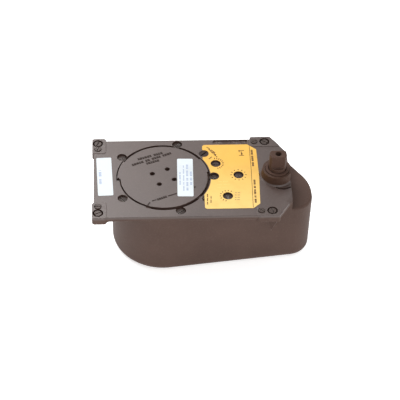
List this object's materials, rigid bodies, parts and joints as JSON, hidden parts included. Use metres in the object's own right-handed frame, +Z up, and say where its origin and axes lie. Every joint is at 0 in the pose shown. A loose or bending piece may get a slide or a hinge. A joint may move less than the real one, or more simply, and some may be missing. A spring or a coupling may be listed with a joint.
{
  "type": "door closer",
  "caption": "Concealed floor door closer: cast body with deep tub and four ears, round spring tension disc, slotted valves by a yellow label, and a double-D spindle in a boss.",
  "frame": {"origin": "centre of the flat top face of the spindle, on the spindle axis, at the mouth of its threaded hole", "axes": "+Z up along the spindle, -X along the plate towards the spring disc, +Y towards the back edge, the side with the sloping corner"},
  "size_m": [0.3138, 0.1644, 0.16],
  "materials": {
    "bronze_paint": "satin dark bronze enamel over a casting",
    "gasket": "oiled gasket sheet",
    "zinc_steel": "zinc plated",
    "rubber_seal": "matt black",
    "worn_steel": "dark steel with bright worn slots",
    "ground_steel": "ground",
    "spring_steel": "oil tempered",
    "cast_iron": "as cast, machined faces",
    "bronze": "bearing bronze",
    "dark_steel": "forged, blackened",
    "spindle_steel": "satin dark bronze enamel",
    "blackened_steel": "bronze coated screws",
    "yellow_label": "yellow printed foil",
    "white_label": "white sticker"
  },
  "bodies": {
    "housing": {"adjustment_label": "yellow_label", "block_screws": "zinc_steel", "body_casting": "bronze_paint", "bottom_cover": "bronze_paint", "bottom_cover_gasket": "gasket", "bottom_cover_screws": "zinc_steel", "clamp_screws": "worn_steel", "end_plug": "zinc_steel", "end_plug_seal": "rubber_seal", "filler_plugs": "worn_steel", "gland_ring": "spindle_steel", "hold_down_screws": "blackened_steel", "hydraulic_block": "cast_iron", "levelling_screws": "blackened_steel", "plate_sticker": "white_label", "spindle_bush_lower": "bronze", "spindle_bush_upper": "bronze", "spindle_seal": "rubber_seal", "thrust_balls": "ground_steel", "thrust_race_lower": "ground_steel"},
    "tension_disc_body": {"tension_disc": "bronze_paint", "disc_seal": "rubber_seal", "centre_post": "ground_steel", "centre_post_ring": "spring_steel", "torsion_spring": "spring_steel", "disc_sticker": "white_label"},
    "drum_body": {"spring_drum": "cast_iron", "drum_bush": "bronze", "drum_pin": "ground_steel", "drum_pin_ring": "spring_steel"},
    "spindle_body": {"spindle": "spindle_steel", "thrust_race_upper": "ground_steel", "crank_arm": "dark_steel", "crank_key": "ground_steel", "crank_pin": "ground_steel", "crank_pin_ring": "spring_steel", "crank_washer": "zinc_steel", "crank_screw": "zinc_steel"},
    "link_body": {"link": "dark_steel", "link_bush_drum": "bronze", "link_bush_crank": "bronze"},
    "piston_body": {"piston": "ground_steel", "piston_ring": "cast_iron", "check_ball": "ground_steel", "check_retainer": "zinc_steel"},
    "valve_closing_body": {"valve_closing": "worn_steel", "valve_seal_closing": "rubber_seal"},
    "valve_latching_body": {"valve_latching": "worn_steel", "valve_seal_latching": "rubber_seal"},
    "valve_backcheck_body": {"valve_backcheck": "worn_steel", "valve_seal_backcheck": "rubber_seal"}
  },
  "joints": [
    {"name": "spindle_turn", "type": "hinge", "parent": "housing", "child": "spindle_body", "pos_m": [0, 0, -0.0414], "axis": [0, 0, 1], "range_deg": [0, 120]},
    {"name": "drum_turn", "type": "hinge", "parent": "housing", "child": "drum_body", "pos_m": [-0.162, 0, -0.1204], "axis": [0, 0, 1], "range_deg": [0, 120], "deforming": ["torsion_spring"]},
    {"name": "link_pivot", "type": "hinge", "parent": "spindle_body", "child": "link_body", "pos_m": [-0.02771, -0.016, -0.1334], "axis": [0, 0, 1], "range_deg": [-120, 0]},
    {"name": "piston_slide", "type": "slide", "parent": "housing", "child": "piston_body", "axis": [1, 0, 0], "range_m": [0, 0.0252]},
    {"name": "tension_disc_turn", "type": "hinge", "parent": "housing", "child": "tension_disc_body", "pos_m": [-0.162, 0, -0.0414], "axis": [0, 0, 1], "range_deg": [-20, 0]},
    {"name": "valve_closing_turn", "type": "hinge", "parent": "housing", "child": "valve_closing_body", "pos_m": [-0.0859, 0.0261, -0.0434], "axis": [0, 0, 1], "range_deg": [-180, 180]},
    {"name": "valve_latching_turn", "type": "hinge", "parent": "housing", "child": "valve_latching_body", "pos_m": [-0.0545, 0.0018, -0.0434], "axis": [0, 0, 1], "range_deg": [-180, 180]},
    {"name": "valve_backcheck_turn", "type": "hinge", "parent": "housing", "child": "valve_backcheck_body", "pos_m": [-0.0724, -0.0409, -0.0434], "axis": [0, 0, 1], "range_deg": [-180, 180]}
  ],
  "couplings": [
    {"joint": "drum_turn", "follows": "spindle_turn", "ratio": 1},
    {"joint": "link_pivot", "follows": "spindle_turn", "ratio": -1},
    {"joint": "piston_slide", "follows": "spindle_turn", "m_per_rad": 0.012}
  ]
}
